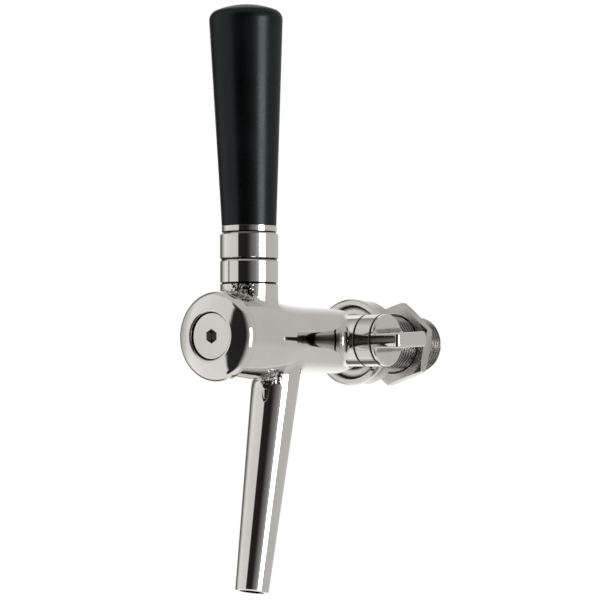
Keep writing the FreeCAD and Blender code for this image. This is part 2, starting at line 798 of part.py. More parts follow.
def make_piston():
    land = s.main_bore - s.running_gap
    front_seal = s.piston_front_back + s.oring_thickness * 2
    rear_seal = s.piston_rear_back - s.oring_thickness
    valve_seal = (s.head_front_back + s.head_rear_back) / 2
    front_groove, front_radius = oring_groove(land, front_seal)
    rear_groove, rear_radius = oring_groove(land, rear_seal)
    valve_groove, valve_radius = oring_groove(s.valve_radius, valve_seal)
    steps = [(0, s.piston_front_back), (land, s.piston_front_back)] + front_groove + rear_groove
    steps += [
        (land, s.piston_rear_back),
        (s.rod_radius, s.piston_rear_back),
        (s.rod_radius, s.head_front_back),
        (s.valve_radius, s.head_front_back),
    ]
    steps += valve_groove + [(s.valve_radius, s.head_rear_back), (0, s.head_rear_back)]
    body = turned("valve_piston", "barrel", steps)

    def lever_pocket(sketch):
        """Seen from the side: straight round the lever's ball, then widening upwards for its arm."""
        half = s.arm_ball_radius + s.arm_gap
        floor = s.piston_pocket_depth - s.arm_ball_height
        knee = s.arm_ball_height + s.arm_ball_radius
        lean = sine(s.pour_angle) / cosine(s.pour_angle)
        mouth = half + (land - knee) * lean
        middle = s.neck_back
        outline = [
            (middle - half, floor),
            (middle + half, floor),
            (middle + half, knee),
            (middle + mouth, land + s.plain_gap),
            (middle - mouth, land + s.plain_gap),
            (middle - half, knee),
        ]
        draw(sketch, [(-up, back) for back, up in [(b, sized(u)) for b, u in outline]])

    # In the piston's own frame up is -Y, so the pocket is drawn on its YZ plane.
    width = (s.arm_ball_radius + s.arm_gap) * 2
    pocket(body, "YZ_Plane", "lever_pocket", lever_pocket, width, both_sides=True)
    ring("piston_front_seal", "barrel", front_radius, front_seal)
    ring("piston_rear_seal", "barrel", rear_radius, rear_seal)
    ring("valve_head_seal", "barrel", valve_radius, valve_seal)

    sleeve_outer = s.main_bore - s.fixed_gap
    sleeve_bore = s.valve_radius + s.running_gap
    lead = s.joint_chamfer
    sleeve = [
        (sleeve_bore + lead, s.valve_sleeve_front),
        (sleeve_outer, s.valve_sleeve_front),
        (sleeve_outer, s.valve_sleeve_rear),
        (sleeve_bore + lead, s.valve_sleeve_rear),
        (sleeve_bore, s.valve_sleeve_rear - lead),
        (sleeve_bore, s.valve_sleeve_front + lead),
    ]
    turned("valve_sleeve", "barrel", sleeve)


# Flow compensator: cone, its tapered sleeve, and the cranked spindle with gland and knob

def make_compensator():
    sleeve = [
        (s.sleeve_front_bore, s.sleeve_front),
        (s.main_bore - s.fixed_gap, s.sleeve_front),
        (s.main_bore - s.fixed_gap, s.sleeve_rear),
        (s.sleeve_rear_bore, s.sleeve_rear),
    ]
    body = turned("compensator_sleeve", "barrel", sleeve)

    def crank_window(sketch):
        draw_circle(sketch, 0, s.boss_back, s.crank_offset + s.crank_pin_radius + s.crank_gap)

    pocket(body, "YZ_Plane", "crank_window", crank_window, s.main_bore + s.plain_gap)

    half = s.crank_pin_radius + s.crank_gap
    slope = (s.cone_rear_radius - s.cone_front_radius) / (s.cone_rear - s.cone_front)

    def cone_radius(back):
        return s.cone_front_radius + slope * (back - s.cone_front)

    cone = [
        (0, s.cone_front),
        (s.cone_front_radius, s.cone_front),
        (cone_radius(s.boss_back - half), s.boss_back - half),
        (s.cone_groove_floor, s.boss_back - half),
        (s.cone_groove_floor, s.boss_back + half),
        (cone_radius(s.boss_back + half), s.boss_back + half),
        (s.cone_rear_radius, s.cone_rear),
        (0, s.cone_rear),
    ]
    turned("compensator_cone", "barrel", cone)


def make_flow_control():
    disc = s.boss_bore - s.running_gap
    disc_end = s.spindle_disc_side + s.spindle_disc_thickness
    gland_end = disc_end + s.plain_gap
    seal_side = (gland_end + s.boss_side) / 2
    groove, seal_radius = oring_groove(s.spindle_radius, seal_side)
    spindle = [
        (0, s.spindle_disc_side),
        (disc, s.spindle_disc_side),
        (disc, disc_end),
        (s.spindle_radius, disc_end),
    ]
    spindle += groove + [(s.spindle_radius, s.spindle_end_side), (0, s.spindle_end_side)]
    body = turned("flow_spindle", "side", spindle)
    pin_sketch = new_sketch(body, "XY_Plane", "crank_pin_outline")
    draw_circle(pin_sketch, s.crank_offset, 0, s.crank_pin_radius)
    pin_sketch.setExpression("AttachmentOffset.Base.z", s.crank_pin_side.text)
    pin = body.newObject("PartDesign::Pad", "crank_pin")
    pin.Profile = pin_sketch
    pin.setExpression("Length", (disc_end - s.crank_pin_side).text)
    doc.recompute()
    ring("spindle_seal", "side", seal_radius, seal_side)

    bore = s.spindle_radius + s.running_gap
    edge = s.joint_chamfer
    flange = s.boss_side
    gland = [
        (bore, gland_end),
        (s.boss_bore - s.fixed_gap, gland_end),
        (s.boss_bore - s.fixed_gap, flange),
        (s.boss_radius - s.seam_depth, flange),
        (s.boss_radius - s.seam_depth, flange + s.side_seam_width),
        (s.boss_radius, flange + s.side_seam_width),
        (s.boss_radius, s.gland_side - edge),
        (s.boss_radius - edge, s.gland_side),
        (bore, s.gland_side),
    ]
    turned("gland_ring", "side", gland)

    knob_foot = s.gland_side + s.plain_gap
    knob_bore = s.spindle_radius + s.fixed_gap
    edge_centre = (s.knob_radius - s.knob_edge_round, s.knob_side - s.knob_edge_round)
    knob = [
        (knob_bore, knob_foot),
        (s.knob_radius - s.seam_depth, knob_foot),
        (s.knob_radius - s.seam_depth, s.gland_side + s.side_seam_width),
        (s.knob_radius, s.gland_side + s.side_seam_width),
        (s.knob_radius, s.knob_side - s.knob_edge_round),
        arc_to(s.knob_radius - s.knob_edge_round, s.knob_side, s.knob_edge_round, edge_centre),
        (0, s.knob_side),
        (0, s.spindle_end_side + s.plain_gap),
        (knob_bore, s.spindle_end_side + s.plain_gap),
    ]
    body = turned("flow_knob", "side", knob, turn=s.knob_rest_turn)

    def beside_blade(side):
        """What is milled away on one side of the blade: down to the knob's base, with a rounded root."""
        flank = s.blade_thickness / 2
        root_round = s.blade_root_round
        root_side = s.knob_base_side + root_round
        out = s.knob_radius + s.plain_gap
        top_side = s.knob_side + s.plain_gap
        root_centre = ((flank + root_round) * side, root_side)
        return [
            (out * side, s.knob_base_side),
            ((flank + root_round) * side, s.knob_base_side),
            arc_to(flank * side, root_side, root_round, root_centre),
            (flank * side, top_side),
            (out * side, top_side),
        ]

    width = s.knob_radius * 2 + s.plain_gap
    for count, side in enumerate((1, -1), start=1):
        steps = beside_blade(side)
        name = f"blade_flank_{count}"
        pocket(body, "XZ_Plane", name, lambda sketch: draw(sketch, steps), width, both_sides=True)
    rims = []
    for number, edge in enumerate(body.Tip.Shape.Edges, start=1):
        round_rim = edge.Curve.TypeId == "Part::GeomCircle" and edge.BoundBox.ZLength < 1e-4
        if round_rim and abs(edge.BoundBox.ZMin - s.knob_base_side.value) < 1e-4:
            rims.append(f"Edge{number}")
    soften(body, "base_rim", rims, s.knob_base_round)


# Threaded tail, its seal, the dished wall rosette, the slotted ring and the counter nut

def make_wall_fittings():
    spigot = s.main_bore - s.fixed_gap
    tail = [
        (s.tail_bore, s.tail_front),
        (spigot, s.tail_front),
        (spigot, s.rear_spigot_back),
        (s.tail_thread_radius, s.rear_spigot_back),
        (s.tail_thread_radius, s.tail_end - s.tail_end_chamfer),
        (s.tail_thread_radius - s.tail_end_chamfer, s.tail_end),
        (s.tail_bore + s.joint_chamfer, s.tail_end),
        (s.tail_bore, s.tail_end - s.joint_chamfer),
    ]
    turned("tail_shank", "barrel", tail)
    seal = [
        (s.tail_seal_bore, s.sleeve_rear),
        (spigot, s.sleeve_rear),
        (spigot, s.tail_front),
        (s.tail_seal_bore, s.tail_front),
    ]
    turned("tail_seal", "barrel", seal)

    dish = s.rosette_front + s.rosette_dish_depth
    edge = s.joint_chamfer * 2
    rosette = [
        (s.rear_spigot_radius + s.fixed_gap, dish),
        (s.rosette_rim_bore - s.rosette_dish_step, dish),
        (s.rosette_rim_bore, s.rosette_front),
        (s.rosette_radius - edge, s.rosette_front),
        (s.rosette_radius, s.rosette_front + edge),
        (s.rosette_radius, s.rear_spigot_back - s.rosette_rebate),
        (s.rosette_radius - s.rosette_rebate, s.rear_spigot_back - s.rosette_rebate),
        (s.rosette_radius - s.rosette_rebate, s.rear_spigot_back),
        (s.rear_spigot_radius + s.fixed_gap, s.rear_spigot_back),
    ]
    turned("wall_rosette", "barrel", rosette)

    ring_front = s.rear_spigot_back + s.plain_gap
    bevel = s.slotted_ring_chamfer
    ring_bore = s.tail_thread_radius + s.thread_gap
    slotted = [
        (ring_bore, ring_front),
        (s.slotted_ring_radius - bevel, ring_front),
        (s.slotted_ring_radius, ring_front + bevel),
        (s.slotted_ring_radius, s.front_reach - bevel),
        (s.slotted_ring_radius - bevel, s.front_reach),
        (ring_bore, s.front_reach),
    ]
    body = turned("slotted_ring", "barrel", slotted)

    def notch(sketch):
        half = s.slot_width / 2
        floor = s.slotted_ring_radius - s.slot_depth
        out = s.slotted_ring_radius + s.plain_gap
        along = cosine(s.slot_rest_turn)
        aside = sine(s.slot_rest_turn)
        corners = [(floor, -half), (out, -half), (out, half), (floor, half)]
        draw(sketch, [(x * along - y * aside, x * aside + y * along) for x, y in corners])

    first = pocket(body, "XY_Plane", "notch", notch, s.front_reach + s.plain_gap)
    pattern = body.newObject("PartDesign::PolarPattern", "notches")
    pattern.Originals = [first]
    pattern.Axis = (first.Profile[0], ["N_Axis"])
    pattern.Angle = 360
    pattern.Occurrences = int(s.slot_count.value)
    pattern.setExpression("Occurrences", s.slot_count.text)
    body.Tip = pattern
    doc.recompute()

    nut = new_body("counter_nut")
    flats = new_sketch(nut, "XY_Plane", "nut_outline")
    corner = hexagon_corner(s.nut_flats)
    corners = [s.nut_rest_turn + 60 * count for count in range(6)]
    draw(flats, [(corner * cosine(a), -(corner * sine(a))) for a in corners])
    flats.setExpression("AttachmentOffset.Base.z", s.nut_front.text)
    block = nut.newObject("PartDesign::Pad", "nut_block")
    block.Profile = flats
    block.setExpression("Length", s.nut_thickness.text)
    doc.recompute()
    nut_rear = s.nut_front + s.nut_thickness
    beyond = corner + s.plain_gap
    inner = s.nut_corner_radius - s.nut_bevel
    rise = (beyond - inner) / 2
    for name, face, inward in (("front_bevel", s.nut_front, 1), ("rear_bevel", nut_rear, -1)):
        bevel_steps = [(inner, face), (beyond, face), (beyond, face + rise * inward)]
        revolve(nut, "XZ_Plane", name, bevel_steps, cut=True)
    bore = s.tail_thread_radius + s.thread_gap
    nut_bore = [
        (0, s.nut_front - s.plain_gap),
        (bore + s.nut_bore_chamfer, s.nut_front - s.plain_gap),
        (bore + s.nut_bore_chamfer, s.nut_front),
        (bore, s.nut_front + s.nut_bore_chamfer),
        (bore, nut_rear + s.plain_gap),
        (0, nut_rear + s.plain_gap),
    ]
    revolve(nut, "XZ_Plane", "nut_bore", nut_bore, cut=True)
    place(nut, "barrel")


make_tap_body()
make_front()
make_neck_fittings()
make_lever()
make_piston()
make_compensator()
make_flow_control()
make_wall_fittings()
doc.recompute()

for item in doc.Objects:
    if "Invalid" in item.State or "Error" in item.State:
        raise RuntimeError(f"{item.Label} did not build: {item.State}")
for part in parts:
    if part.Shape.isNull() or not part.Shape.isValid() or len(part.Shape.Solids) != 1:
        raise RuntimeError(f"{part.Label} is not one sound solid")
os.makedirs("parts", exist_ok=True)
for part in parts:
    part.Shape.exportStep(f"parts/{part.Label}.step")
    print(part.Label, round(part.Shape.Volume, 1))
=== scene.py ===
import math

import bpy
from mathutils import Matrix, Vector


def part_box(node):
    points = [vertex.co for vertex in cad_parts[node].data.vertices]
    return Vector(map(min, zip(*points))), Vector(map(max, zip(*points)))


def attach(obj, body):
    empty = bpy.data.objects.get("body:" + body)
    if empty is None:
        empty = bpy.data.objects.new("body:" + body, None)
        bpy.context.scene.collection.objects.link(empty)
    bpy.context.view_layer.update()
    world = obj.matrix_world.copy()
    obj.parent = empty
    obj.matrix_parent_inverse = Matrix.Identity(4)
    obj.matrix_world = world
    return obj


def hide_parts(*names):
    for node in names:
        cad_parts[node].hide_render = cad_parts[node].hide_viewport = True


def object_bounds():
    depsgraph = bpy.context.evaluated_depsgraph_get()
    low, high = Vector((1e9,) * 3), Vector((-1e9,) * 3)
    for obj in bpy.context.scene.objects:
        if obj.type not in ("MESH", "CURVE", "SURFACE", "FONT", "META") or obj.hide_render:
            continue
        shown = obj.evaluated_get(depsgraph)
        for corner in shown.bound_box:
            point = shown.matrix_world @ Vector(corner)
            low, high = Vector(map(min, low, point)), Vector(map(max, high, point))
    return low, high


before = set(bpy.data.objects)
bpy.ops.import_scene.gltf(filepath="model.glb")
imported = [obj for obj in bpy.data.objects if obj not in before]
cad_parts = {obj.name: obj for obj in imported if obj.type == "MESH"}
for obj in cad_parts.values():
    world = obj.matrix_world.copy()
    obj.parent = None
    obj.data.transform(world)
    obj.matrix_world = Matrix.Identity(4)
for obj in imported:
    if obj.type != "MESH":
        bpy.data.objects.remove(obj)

CAD_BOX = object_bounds()

# The photograph's view: angles in degrees, lengths in metres, image sizes in pixels, the sensor in
# millimetres. The front cap's centre lies at FRONT_FACE, and in the picture at FRONT_FACE_X and _Y.
VIEW_AZIMUTH = 36.0
VIEW_ELEVATION = -2.6
VIEW_DISTANCE = 1.12
IMAGE_SIZE = 600
FOCAL_PIXELS = 2947.0
SENSOR_WIDTH = 36.0
CLIP_START = 0.05
CLIP_END = 20.0
FRONT_FACE = Vector((0.0, -0.1037, 0.0))
FRONT_FACE_X = 209.4
FRONT_FACE_Y = 336.0

# The tail with its G5/8 pipe thread, in metres. THREAD_ROWS are rows of points per turn, AROUND
# the points in a row, and edges sharper than SHARP_EDGE degrees aren't shaded smooth.
THREAD_PITCH = 0.001814
THREAD_DEPTH = 0.00116
THREAD_FLAT_SHARE = 0.12
THREAD_ROWS = 14
AROUND = 128
SHARP_EDGE = 40.0
TAIL_BORE_RADIUS = 0.005
TAIL_SPIGOT_RADIUS = 0.00875
TAIL_SPIGOT_LENGTH = 0.0061
TAIL_END_CHAMFER = 0.0012
TAIL_BORE_CHAMFER = 0.00035

# Floor and softbox: lengths in metres, the bearing in degrees from the front towards the knob
FLOOR_HEIGHT = -0.30
FLOOR_SIZE = 4.4
FLOOR_GLOW = 0.9
FLOOR_GREY = 0.85
FLOOR_ROUGHNESS = 0.9
SOFTBOX_BEARING = 88.5
SOFTBOX_DISTANCE = 1.6
SOFTBOX_WIDTH = 0.72
SOFTBOX_HEIGHT = 1.1
SOFTBOX_RISE = -0.08
SOFTBOX_POWER = 14.4

# The studio's brightness by bearing, in degrees from the front towards the knob
STUDIO_LEVELS = [
    (-180, 0.56),
    (-172, 0.54),
    (-160, 0.68),
    (-147, 0.9),
    (-138, 1.05),
    (-126, 1.05),
    (-117, 0.14),
    (-97, 0.14),
    (-90, 0.42),
    (-80, 0.62),
    (-72, 0.86),
    (-45, 0.76),
    (-8, 0.72),
    (-5, 0.02),
    (28, 0.015),
    (36, 0.04),
    (45, 0.12),
    (62, 0.24),
    (70, 0.42),
    (107, 0.54),
    (140, 0.55),
    (180, 0.56),
]
# How far the studio's pattern turns towards straight down, in degrees
STUDIO_SLANT = 20.0
# The studio's ceiling, lower half and floor: each level, and the sines of the angles between
# which it sets in
CEILING_LEVEL = 0.56
CEILING_RANGE = (0.72, 0.86)
GROUND_LIFT = 1.12
GROUND_RANGE = (0.08, 0.3)
UNDERSIDE_LEVEL = 0.85
UNDERSIDE_RANGE = (0.88, 0.96)

# Where the casting was left unpolished: the roots of the neck and the spout. Each stem has a point
# on its axis, the axis, its radius, and the side from one bearing to another in degrees from its
# front. CAST_REACH goes out from the stem, CAST_DEPTH down from the barrel's axis.
NECK_ROOT = ((0.0, -0.0787, 0.0), (0.0, 0.0, 1.0), 0.01135, (3.0, 44.0))
SPOUT_ROOT = ((0.0, -0.0585, 0.0), (0.0, 0.1834, 0.983), 0.0108, (8.0, 50.0))
ROUGH_SIDE_FADE = 5.0
CAST_REACH = 0.0022
CAST_DEPTH = 0.0175
CAST_DEPTH_FADE = 0.0012
SKIN_SCALE = 850.0
SKIN_HEIGHT = 0.0006
# Between which levels of the skin's noise specks of the patch turn darker, and their grey
SPECK_RANGE = (0.45, 0.54)
SPECK_GREY = 0.03

# Painted shade in seams and recesses: how far their walls may be apart, how open a spot is where
# the painted shade turns dark and light, and its grey
SEAM_SHADE = (0.0022, 0.72, 0.99)
RECESS_SHADE = (0.0036, 0.86, 0.995)
SOCKET_SHADE = (0.0007, 0.3, 0.75)
CREVICE_SHADE_GREY = 0.015

# Every finish: between which levels of its noise the shade and the wear change
SHADE_RANGE = (0.35, 0.7)
WEAR_RANGE = (0.35, 0.65)

# Mirror plating: wipe marks and hairlines
SMUDGE_SCALE = 55.0
SMUDGE_SHADE = 0.95
HAIRLINE_SCALE = 700.0
HAIRLINE_STRETCH = (1.0, 0.06, 1.0)
HAIRLINE_SHARE = 0.35
HAIRLINE_STRENGTH = 0.02
HAIRLINE_HEIGHT = 0.00002
CHROME_WEAR_RANGE = (0.45, 0.95)

# Metal from the lathe: rings round an axis, and dull patches
PATCH_SCALE = 90.0
PATCH_SHADE = 0.82
RING_SCALE = 3500.0
RING_HEIGHT = 0.00005
RING_STRETCH = {"X": (1.0, 0.01, 0.01), "Y": (0.01, 1.0, 0.01), "Z": (0.01, 0.01, 1.0)}

# Moulded plastic and rubber: a fine grain and broad, paler shades
BROAD_SCALE = 45.0
PALER_FACTOR = 1.25
PALER_LIFT = 0.002
GRAIN_HEIGHT = 0.0001

# The grip's gloss: its level where the surface faces the eye and where it turns away, the range
# of turning between them, and its cold tint
GRIP_GLOSS = (0.31, 0.05)
GRIP_GLOSS_RANGE = (0.05, 0.8)
GRIP_GLOSS_BLEND = 0.5
GRIP_GLOSS_TINT = (0.84, 1.0, 0.98)

# Colours that more than one finish has
PLATE = (0.8, 0.785, 0.735)
INNER_STEEL = (0.58, 0.58, 0.57)
BRASS = (0.66, 0.47, 0.22)

# Each plating: its colour, its least and greatest roughness, the shade painted into its crevices
# and what wears it
CHROMES = {
    "polished_chrome": (
        PLATE, (0.03, 0.07), SEAM_SHADE, ["lock_ring", "lever_skirt", "handle_ring", "flow_knob"]
    ),
    # The gland ring's plate colour is painted darker, standing in for the darker reflections it
    # shows.
    "gland_chrome": ((0.69, 0.675, 0.63), (0.04, 0.09), SEAM_SHADE, ["gland_ring"]),
    "cap_chrome": (PLATE, (0.03, 0.07), RECESS_SHADE, ["front_cap"]),
    "body_chrome": (PLATE, (0.03, 0.07), SEAM_SHADE, ["tap_body"]),
    "plug_chrome": (PLATE, (0.05, 0.1), SOCKET_SHADE, ["front_plug"]),
    "rosette_chrome": ((0.76, 0.745, 0.7), (0.06, 0.12), SEAM_SHADE, ["wall_rosette"]),
}

# Each turned metal: its colour, its roughness, the strength and axis of its rings and what wears it
TURNED_METALS = {
    "turned_steel": ((0.62, 0.6, 0.56), (0.16, 0.3), 0.2, "Y", ["slotted_ring", "counter_nut"]),
    "inner_steel": (INNER_STEEL, (0.15, 0.3), 0.15, "Z", ["lever_stem"]),
    "spindle_steel": (INNER_STEEL, (0.15, 0.3), 0.15, "X", ["flow_spindle"]),
    "turned_brass": (
        BRASS, (0.18, 0.34), 0.2, "Y", ["valve_sleeve", "compensator_sleeve", "valve_piston"]
    ),
    "insert_brass": (BRASS, (0.2, 0.36), 0.3, "Z", ["handle_insert"]),
    "thread_steel": ((0.5, 0.49, 0.47), (0.19, 0.28), 0.05, "Y", []),
}

# Each moulding: its colour, its roughness, the scale and strength of its grain and what wears it
MOULDINGS = {
    "grip_plastic": ((0.002, 0.0026, 0.0028), (0.26, 0.33), 1300.0, 0.1, ["handle_grip"]),
    "seat_plastic": (
        (0.72, 0.72, 0.69), (0.35, 0.5), 900.0, 0.05, ["ball_seat", "compensator_cone"]
    ),
    "seal_rubber": (
        (0.012, 0.012, 0.012), (0.45, 0.65), 1800.0, 0.1,
        ["front_plug_seal", "ball_seal", "tail_seal", "spindle_seal", "piston_front_seal",
         "piston_rear_seal", "valve_head_seal"],
    ),
}


# Helpers for node trees

def link(tree, source, target):
    tree.links.new(source, target)


def feed(tree, value, socket):
    """Sets a socket to a number or a colour, or links another socket to it."""
    if isinstance(value, (int, float)):
        socket.default_value = value
    elif isinstance(value, tuple):
        socket.default_value = (*value, 1.0)
    else:
        link(tree, value, socket)


def math_node(tree, operation, first, second):
    node = tree.nodes.new("ShaderNodeMath")
    node.operation = operation
    feed(tree, first, node.inputs[0])
    feed(tree, second, node.inputs[1])
    return node.outputs[0]


def vector_math(tree, operation, first, second=None):
    node = tree.nodes.new("ShaderNodeVectorMath")
    node.operation = operation
    link(tree, first, node.inputs[0])
    if second:
        node.inputs[1].default_value = second
    return node


def components(tree, vector):
    """The outputs X, Y and Z of a vector."""
    node = tree.nodes.new("ShaderNodeSeparateXYZ")
    link(tree, vector, node.inputs[0])
    return node.outputs


def span(tree, value, low, high, to_low=0.0, to_high=1.0):
    """Maps a value from one range to another, smoothly at both ends."""
    node = tree.nodes.new("ShaderNodeMapRange")
    node.interpolation_type = "SMOOTHSTEP"
    node.inputs["From Min"].default_value = low
    node.inputs["From Max"].default_value = high
    node.inputs["To Min"].default_value = to_low
    node.inputs["To Max"].default_value = to_high
    link(tree, value, node.inputs["Value"])
    return node.outputs["Result"]


def mix_color(tree, share, first, second):
    """Mixes two colours. A Mix node has its colours at sockets 6 and 7, and the result at 2."""
    node = tree.nodes.new("ShaderNodeMix")
    node.data_type = "RGBA"
    feed(tree, share, node.inputs[0])
    feed(tree, first, node.inputs[6])
    feed(tree, second, node.inputs[7])
    return node.outputs[2]


def mix_shader(tree, share, first, second):
    node = tree.nodes.new("ShaderNodeMixShader")
    link(tree, share, node.inputs[0])
    link(tree, first, node.inputs[1])
    link(tree, second, node.inputs[2])
    return node.outputs[0]


def grey(level):
    return (level, level, level)


def shaded(color, factor, lift=0.0):
    return tuple(channel * factor + lift for channel in color)


def noise(tree, coordinates, scale, detail, roughness=0.55, stretch=None):
    if stretch:
        mapping = tree.nodes.new("ShaderNodeMapping")
        mapping.inputs["Scale"].default_value = stretch
        link(tree, coordinates, mapping.inputs["Vector"])
        coordinates = mapping.outputs[0]
    node = tree.nodes.new("ShaderNodeTexNoise")
    node.inputs["Scale"].default_value = scale
    node.inputs["Detail"].default_value = detail
    node.inputs["Roughness"].default_value = roughness
    link(tree, coordinates, node.inputs["Vector"])
    return node.outputs["Fac"]


def average(tree, first, second):
    half_first = math_node(tree, "MULTIPLY", first, 0.5)
    half_second = math_node(tree, "MULTIPLY", second, 0.5)
    return math_node(tree, "ADD", half_first, half_second)


def bump(tree, shader, height, strength, distance):
    """Adds a bump to the shader, over the one that it may have."""
    node = tree.nodes.new("ShaderNodeBump")
    feed(tree, strength, node.inputs["Strength"])
    node.inputs["Distance"].default_value = distance
    link(tree, height, node.inputs["Height"])
    normal = shader.inputs["Normal"]
    if normal.is_linked:
        link(tree, normal.links[0].from_socket, node.inputs["Normal"])
    link(tree, node.outputs[0], normal)


def new_material(name):
    """A material with its tree and its shader."""
    material = bpy.data.materials.new(name)
    material.use_nodes = True
    tree = material.node_tree
    return material, tree, tree.nodes["Principled BSDF"]


def object_coordinates(tree):
    return tree.nodes.new("ShaderNodeTexCoord").outputs["Object"]


# Materials

def painted_crevice_shade(tree, color, reach, closed, opened):
    """The colour, with shade painted into seams and recesses where ambient occlusion finds them
    closed in.
    """
    crevice_shade = tree.nodes.new("ShaderNodeAmbientOcclusion")
    crevice_shade.inputs["Distance"].default_value = reach
    openness = span(tree, crevice_shade.outputs["AO"], closed, opened)
    # Paints the shade: closed-in spots go to a near-black grey.
    return mix_color(tree, openness, grey(CREVICE_SHADE_GREY), color)


def polished_chrome(name, color, roughness, crevice_shade):
    """Mirror plating with faint wipe marks, hairlines and shade painted into its seams."""
    material, tree, shader = new_material(name)
    coordinates = object_coordinates(tree)
    smudge = noise(tree, coordinates, SMUDGE_SCALE, 5.0)
    hairline = noise(tree, coordinates, HAIRLINE_SCALE, 2.0, 0.5, HAIRLINE_STRETCH)
    shade = span(tree, smudge, *SHADE_RANGE)
    plating = mix_color(tree, shade, color, shaded(color, SMUDGE_SHADE))
    wear = math_node(tree, "ADD", smudge, math_node(tree, "MULTIPLY", hairline, HAIRLINE_SHARE))
    shader.inputs["Metallic"].default_value = 1.0
    # The base colour carries shade painted into seams and recesses.
    link(tree, painted_crevice_shade(tree, plating, *crevice_shade), shader.inputs["Base Color"])
    link(tree, span(tree, wear, *CHROME_WEAR_RANGE, *roughness), shader.inputs["Roughness"])
    bump(tree, shader, hairline, HAIRLINE_STRENGTH, HAIRLINE_HEIGHT)
    return material


def near_root(tree, coordinates, point, axis, radius, side):
    """One on one side of a round stem, fading out over the root round it."""
    offset = vector_math(tree, "SUBTRACT", coordinates, point).outputs[0]
    crossed = vector_math(tree, "CROSS_PRODUCT", offset, axis).outputs[0]
    distance = vector_math(tree, "LENGTH", crossed).outputs["Value"]
    around = span(tree, distance, radius, radius + CAST_REACH, 1.0, 0.0)
    parts = components(tree, crossed)
    ahead = math_node(tree, "MULTIPLY", parts["X"], -1.0)
    aside = math_node(tree, "MULTIPLY", parts["Y"], -1.0)
    turned = math_node(tree, "ARCTAN2", aside, ahead)
    low, high = (math.radians(degrees) for degrees in side)
    fade = math.radians(ROUGH_SIDE_FADE)
    past_low = span(tree, turned, low - fade, low)
    before_high = span(tree, turned, high, high + fade, 1.0, 0.0)
    within = math_node(tree, "MULTIPLY", past_low, before_high)
    return math_node(tree, "MULTIPLY", around, within)


def cast_roots(material):
    """Leaves the casting uneven at the roots of neck and spout, where no buffing wheel reaches."""
    tree = material.node_tree
    shader = tree.nodes["Principled BSDF"]
    coordinates = object_coordinates(tree)
    height = components(tree, coordinates)["Z"]
    above = math_node(tree, "GREATER_THAN", height, 0.0)
    below = math_node(tree, "LESS_THAN", height, 0.0)
    neck = math_node(tree, "MULTIPLY", near_root(tree, coordinates, *NECK_ROOT), above)
    spout = math_node(tree, "MULTIPLY", near_root(tree, coordinates, *SPOUT_ROOT), below)
    close = span(tree, height, -CAST_DEPTH - CAST_DEPTH_FADE, -CAST_DEPTH)
    uneven = math_node(tree, "MULTIPLY", math_node(tree, "MAXIMUM", neck, spout), close)
    skin = noise(tree, coordinates, SKIN_SCALE, 2.0, 0.5)
    # Darkens specks of the uneven patch towards a near-black grey.
    dark_specks = math_node(tree, "MULTIPLY", span(tree, skin, *SPECK_RANGE), uneven)
    # The body's base colour so far, with shade already painted into its seams.
    plating = shader.inputs["Base Color"].links[0].from_socket
    link(tree, mix_color(tree, dark_specks, plating, grey(SPECK_GREY)), shader.inputs["Base Color"])
    bump(tree, shader, skin, uneven, SKIN_HEIGHT)


def turned_metal(name, color, roughness, ring_strength, axis):
    """Metal from the lathe: fine rings round its axis, duller in patches."""
    material, tree, shader = new_material(name)
    coordinates = object_coordinates(tree)
    patches = noise(tree, coordinates, PATCH_SCALE, 5.0)
    rings = noise(tree, coordinates, RING_SCALE, 3.0, 0.6, RING_STRETCH[axis])
    shade = span(tree, patches, *SHADE_RANGE)
    wear = average(tree, rings, patches)
    shader.inputs["Metallic"].default_value = 1.0
    metal = mix_color(tree, shade, color, shaded(color, PATCH_SHADE))
    link(tree, metal, shader.inputs["Base Color"])
    link(tree, span(tree, wear, *WEAR_RANGE, *roughness), shader.inputs["Roughness"])
    bump(tree, shader, rings, ring_strength, RING_HEIGHT)
    return material


def moulded(name, color, roughness, grain, grain_strength):
    """Plastic or rubber with a fine moulded grain."""
    material, tree, shader = new_material(name)
    coordinates = object_coordinates(tree)
    fine = noise(tree, coordinates, grain, 3.0, 0.6)
    broad = noise(tree, coordinates, BROAD_SCALE, 4.0)
    shade = span(tree, broad, *SHADE_RANGE)
    wear = average(tree, fine, broad)
    plastic = mix_color(tree, shade, color, shaded(color, PALER_FACTOR, PALER_LIFT))
    link(tree, plastic, shader.inputs["Base Color"])
    link(tree, span(tree, wear, *WEAR_RANGE, *roughness), shader.inputs["Roughness"])
    bump(tree, shader, fine, grain_strength, GRAIN_HEIGHT)
    return material


def dull_edges(material):
    """Takes the grip's sheen off where its surface turns away, and gives it a cold tint."""
    tree = material.node_tree
    shader = tree.nodes["Principled BSDF"]
    weight = tree.nodes.new("ShaderNodeLayerWeight")
    weight.inputs["Blend"].default_value = GRIP_GLOSS_BLEND
    level = span(tree, weight.outputs["Facing"], *GRIP_GLOSS_RANGE, *GRIP_GLOSS)
    link(tree, level, shader.inputs["Specular IOR Level"])
    shader.inputs["Specular Tint"].default_value = (*GRIP_GLOSS_TINT, 1.0)


def dress_nodes():
    """Makes every material, puts each on its nodes and gives them all by name."""
    materials = {}
    for make, finishes in (
        (polished_chrome, CHROMES), (turned_metal, TURNED_METALS), (moulded, MOULDINGS)
    ):
        for name, (*looks, nodes) in finishes.items():
            materials[name] = make(name, *looks)
            for node in nodes:
                mesh = bpy.data.objects[node].data
                mesh.materials.clear()
                mesh.materials.append(materials[name])
    cast_roots(materials["body_chrome"])
    dull_edges(materials["grip_plastic"])
    return materials


# The threaded tail

def constant(radius):
    return lambda angle: radius


def thread_drop(turns):
    """How far the thread's surface lies under its crest, as a share of its depth."""
    phase = turns % 1.0
    rise = 1.0 - abs(2.0 * phase - 1.0)
    flank = (rise - THREAD_FLAT_SHARE) / (1.0 - 2.0 * THREAD_FLAT_SHARE)
    flank = min(max(flank, 0.0), 1.0)
    return flank * flank * (3.0 - 2.0 * flank)


